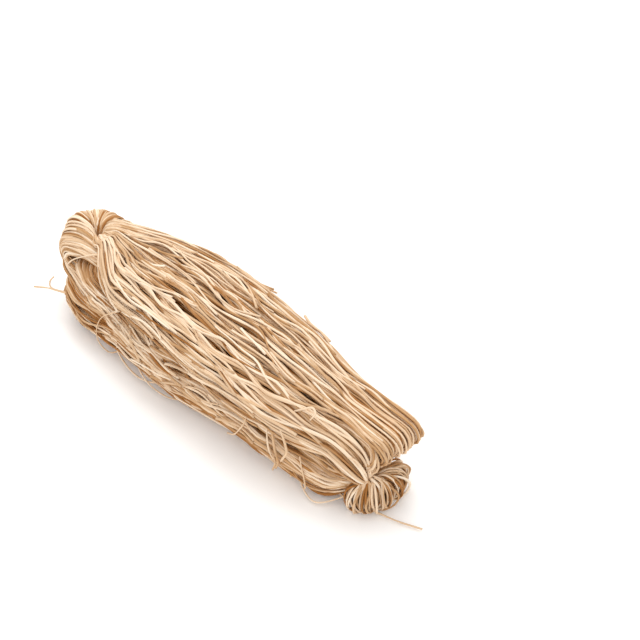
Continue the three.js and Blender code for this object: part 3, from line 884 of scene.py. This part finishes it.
# The tone falls with depth below the skin, painted shade of the layers above, and is higher towards the
# head, painted light.
for count, depth, locks in UPPER_LAYERS:
    path = upper_layer(draw, count, depth, locks)
    away = away_from_sheet(UPPER_SHEET, path)
    path = parted(path, away, GAPS, depth)
    tone = 0.64 - 0.2 * depth - 0.11 * path[..., 0] / HALF_SHEET
    upper.append((rippled(draw, path, away), away, tone))
noodles(draw, "upper_sheet_noodles", upper[:3], dry_finish)
# The inner layers take a darker copy of the noodles' finish: painted shade of the layers above them.
inner_shade_finish = noodle_finish(
    "shaded_inner_rice_noodle",
    cream=(0.66, 0.45, 0.25, 1),
    pale=(0.6, 0.39, 0.19, 1),
    tan=(0.42, 0.22, 0.08, 1),
    deep=(0.26, 0.1, 0.02, 1),
    warm=(0.44, 0.21, 0.06, 1),
)
noodles(draw, "inner_sheet_noodles", upper[3:], inner_shade_finish)

# The head's roll: the same noodles turned back over the head end in wide loops, from the pinch over the
# top, round the rim and in again underneath. It overhangs the lower sheet's fold.


def roll_away(roll, path):
    """Which way is out of a roll: from a point a little outwards of its pinch, half way up."""
    centre = roll["pinch"] + np.array([roll["outwards"] * roll["length"] * 0.3, 0, 0])
    centre[2] = (roll["crest"] + roll["foot"]) / 2
    return path - centre


HEAD_LAYERS = ((70, 0.0), (64, 1.0), (54, 2.0), (44, 3.1))
draw = np.random.default_rng(5)
# The loops' tone falls with depth below the skin: painted shade of the layers above.
loops = []
for count, depth in HEAD_LAYERS:
    bearing = (13 + 77 * side_by_side(draw, count)) * DEGREE
    path, late, foot = head_loop(draw, bearing, depth)
    late = late[:, None]
    under = path[:, -1] + np.array([4.5, 0, 0]) * (1 - late) + np.array([9.0, 0, 0]) * late
    under[:, 2] = foot + 0.3
    inside = HEAD_PINCH + np.array([-3.0, 0, -20.0]) + draw.normal(0, 1.5, (count, 3))
    along = np.array([-66.0, -17.0, 22.0]) + draw.normal(0, 1.5, (count, 3))
    end = inside * (1 - late) + along * late
    path = smooth(np.concatenate([path, under[:, None], end[:, None]], axis=1), 36)
    away = roll_away(HEAD_ROLL, path)
    loops.append((rippled(draw, path, away, 0.9), away, 0.48 - 0.17 * depth))
noodles(draw, "head_roll_noodles", loops, dry_finish, uneven=0.48)

# The tail's tuft: the ends of the skein come out of the tail's pinch in small loops that bend down to the
# table and back under.


def tuft_layer(draw, count, depth):
    """One layer of the tuft: out of the pinch, up a little, round the rim and back under. Each loop has
    its own bearing and size, and leans over its neighbours."""
    bearing = (-4 + 100 * side_by_side(draw, count)) * DEGREE
    size = 1 - depth / 13 + draw.uniform(-0.34, 0.08, count)
    lean = draw.normal(4, 24, count) * DEGREE
    crest = TAIL_TUFT["crest"] - depth + draw.uniform(-1.5, 1.2, count)
    foot = TAIL_TUFT["foot"] + 0.6 * depth
    middle = (crest + foot) / 2
    stations = [
        (0.03, crest - 8, 0.0),
        (0.14, crest - 3, 0.0),
        (0.38, crest - 0.3, 0.3),
        (0.68, crest - 1.5, 0.8),
        (0.9, crest - 4.6, 1.0),
        (1.0, middle - 0.8, 1.0),
        (0.93, foot + 0.3 * (middle - foot), 0.8),
        (0.7, foot + 0 * crest, 0.4),
        (0.35, foot + 1.5 + 0 * crest, 0.0),
    ]
    points = []
    for reach, height, leaning in stations:
        points.append(roll_rim(TAIL_TUFT, bearing + leaning * lean, height, reach * size))
    return smooth(np.stack(points, axis=1), 30)


TUFT_LAYERS = ((50, 0.0), (46, 0.9), (40, 1.9), (30, 2.9))
draw = np.random.default_rng(6)
# The tuft's tone falls with depth below the skin: painted shade of the layers above.
tuft = []
for count, depth in TUFT_LAYERS:
    path = tuft_layer(draw, count, depth)
    away = roll_away(TAIL_TUFT, path)
    tuft.append((rippled(draw, path, away, 1.6), away, 0.42 - 0.14 * depth))
noodles(draw, "tail_tuft_noodles", tuft, dry_finish, thin=0.8, uneven=0.44)

# The crossing noodles: single ones on top of the others that slipped out of their lock and lie slantwise
# over the sheet and the flanks, and short pieces that broke off, with ends that stand up a little.
BROKEN_POINTS = 14
BROKEN_TAIL = 24  # no piece starts this near a path's last point


def broken(draw, path, away, count, head):
    """Short pieces of the paths, none from the first head points: each is a stretch of one noodle, turned
    slantwise and bent, with one end raised. With them, their ways out."""
    chosen = draw.integers(0, len(path), count)
    start = draw.uniform(head, path.shape[1] - BROKEN_TAIL, (count, 1))
    at = start + draw.uniform(4, 13, (count, 1)) * np.linspace(0, 1, BROKEN_POINTS)
    below = at.astype(int)
    part = (at - below)[..., None]
    piece = path[chosen[:, None], below] * (1 - part) + path[chosen[:, None], below + 1] * part
    out = away[chosen[:, None], below]
    _, sideways, up = frames(piece, out)
    swing = np.linspace(-1, 1, BROKEN_POINTS)[None, :, None]
    slant = draw.normal(0, 1.6, (count, 1, 1)) * swing + draw.normal(0, 0.8, (count, 1, 1)) * swing**2
    height = 2.2 * draw.uniform(0, 1, (count, 1, 1)) ** 2
    raised_end = draw.choice([-1, 1], (count, 1, 1))
    raised = height * np.maximum(swing * raised_end, 0) ** 2
    return piece + slant * sideways + (raised + NOODLE_HALF_THICKNESS) * up, out


CROSSING_ROAM = 1.7  # how much further these stray than the sheets' own
draw = np.random.default_rng(14)
path = upper_layer(draw, 34, -0.5, 6, CROSSING_ROAM)
on_top = dried(draw, UPPER_SHEET, path, GAPS, 0.0, 1.2)
broken_on_top = broken(draw, *on_top, count=46, head=8)
path = flank_layer(draw, -1, 16, -0.7, CROSSING_ROAM)
near_side = dried(draw, LOWER_SHEET, path, SIDE_GAPS, 0.0, 1.3)
broken_near_side = broken(draw, *near_side, count=30, head=30)
path = flank_layer(draw, 1, 14, -0.7, CROSSING_ROAM)
away = away_from_sheet(LOWER_SHEET, path)
far_side = (rippled(draw, path, away, 1.3), away)
crossing = [
    (*on_top, 0.66),
    (*broken_on_top, 0.7),
    (*near_side, 0.66),
    (*broken_near_side, 0.6),
    (*far_side, 0.6),
]
noodles(draw, "crossing_noodles", crossing, dry_finish)

# The loose noodles: single ones that stand clear of the bundle, hang from it in a loop or broke off
# short. Each has five places along its course.
LOOSE = [
    [(-78, -20, 17), (-90, -26.4, 15), (-96.5, -29.1, 14.5), (-103, -32, 14), (-108.6, -36.2, 14)],
    [(-90, -25, 14.5), (-99, -30.5, 15), (-101.3, -31.3, 16), (-102.3, -30.3, 18), (-102.4, -27.7, 19.5)],
    [(80, -13, 5), (86, -12, 3), (96, -8, 2), (107, -4, 1.2), (117.5, 0.5, 1.2)],
    [(-48, -26.5, 31), (-59, -31, 22), (-61.7, -32.5, 9), (-55, -31.2, 3.4), (-43, -27, 14)],
    [(-68, -24, 20), (-60, -25, 22), (-52, -25, 28), (-46, -23, 34), (-41, -21, 37)],
    [(-52, -27, 18), (-48, -31, 10), (-39, -32, 5), (-28, -31, 4), (-16, -27, 8)],
    [(-40, -26, 18), (-34, -30, 9), (-24, -31, 4), (-12, -30, 4), (-2, -26, 7)],
    [(62, -16, 7), (68, -21, 4), (77, -22, 2), (85, -13, 5), (88, -8, 8)],
    [(50, -18, 16), (59, -21, 12), (68, -22, 8), (77, -19, 7), (85, -12, 8)],
    [(56, -14, 35), (60, -12, 38), (63, -10, 39.5), (66, -11, 39), (66, -14, 37)],
    [(86, -12, 30), (89, -11, 30), (92, -10, 27), (93, -8.5, 22), (92, -7, 17)],
    [(30, -22, 24), (38, -24, 18), (44, -23, 12), (50, -22, 6), (55, -20, 2)],
    [(34, -23, 16), (42, -24, 14), (50, -21, 12), (57, -19, 7), (60, -20, 2)],
    [(84, 0, 8), (89, 1, 5), (93, 3, 2), (97, 4.5, 1), (100, 6, 1)],
    [(-98, -21.5, 26.5), (-95, -20.7, 30), (-90, -18.3, 33.6), (-84, -15.5, 36.6), (-78, -12.8, 38.4)],
    [(47, -21.5, 27), (50.9, -24.6, 20.8), (52.4, -25.4, 18), (53.6, -25.6, 15.9), (54.9, -25, 13)],
    [(50, -21, 27), (54.9, -24.2, 20.5), (57, -25.2, 17.7), (58.3, -25.6, 14), (56, -25, 8)],
    [(48, -23, 17), (54.3, -24.8, 15), (56.6, -25.6, 13.5), (55.6, -25.4, 9), (53.7, -24.8, 5)],
    [(55, -21, 29), (60.6, -23.4, 25), (62, -24, 22.5), (60.5, -24.6, 18), (58.5, -24.4, 14)],
    [(24, -25, 5), (30, -26.4, 10), (35, -26.6, 17), (37.2, -25.8, 21.8), (37.2, -24.2, 25)],
    [(66, -20, 20), (69, -21.6, 15), (71, -22.4, 11), (71.5, -22.4, 7), (70, -21.6, 4)],
]
draw = np.random.default_rng(4)
loose = smooth(np.array(LOOSE, float), 40)
away = away_from_sheet(LOWER_SHEET, loose)
loose = [(rippled(draw, loose, away, 0.5), away, 0.8)]
noodles(draw, "loose_noodles", loose, dry_finish, thin=0.7, uneven=0.16)

# The table: a plain pale surface, dull enough to show only a soft shadow.
bpy.ops.mesh.primitive_plane_add(size=6)
table = bpy.context.object
table.name = "table"
table_finish = Finish("pale_table", Roughness=0.7)
table_finish.feed(table_finish.shader.inputs["Base Color"], (0.97, 0.965, 0.96, 1))
table.data.materials.append(table_finish.material)

# Soft studio light: an even surround, a large lamp above and behind the far side, and a weak one at the
# near side.
scene = bpy.context.scene
scene.view_settings.view_transform = "Standard"
world = bpy.data.worlds.new("surround")
world.use_nodes = True
world.node_tree.nodes["Background"].inputs["Color"].default_value = (1.0, 0.99, 0.98, 1)
world.node_tree.nodes["Background"].inputs["Strength"].default_value = 1.05
scene.world = world


def lamp(name, place, size, power):
    """A square lamp that faces the bundle's middle."""
    light = bpy.data.lights.new(name, "AREA")
    light.size = size
    light.energy = power
    holder = bpy.data.objects.new(name, light)
    holder.location = place
    scene.collection.objects.link(holder)
    back = np.array(place) / np.linalg.norm(place)
    tilt = np.arccos(back[2])
    holder.rotation_euler = (tilt, 0, np.arctan2(back[0], -back[1]))


lamp("key", place=(-0.3, 0.3, 0.65), size=0.5, power=3.0)
lamp("fill", place=(0.3, -0.45, 0.3), size=0.5, power=0.5)

# The camera stands where the photograph was taken from. Its lens is given in the photo's own pixels.
CAMERA_PLACE = (0.3117, -0.24105, 0.3961)
CAMERA_RISE = 42.1
CAMERA_TURN = 46.5
FOCAL_PIXELS = 1200
PHOTO_PIXELS = 640
SENSOR_WIDTH = 36
camera = bpy.data.objects.new("camera", bpy.data.cameras.new("camera"))
camera.location = CAMERA_PLACE
camera.rotation_euler = ((90 - CAMERA_RISE) * DEGREE, 0, CAMERA_TURN * DEGREE)
camera.data.sensor_width = SENSOR_WIDTH
camera.data.lens = SENSOR_WIDTH * FOCAL_PIXELS / PHOTO_PIXELS
camera.data.clip_start = 0.01
scene.collection.objects.link(camera)
scene.camera = camera
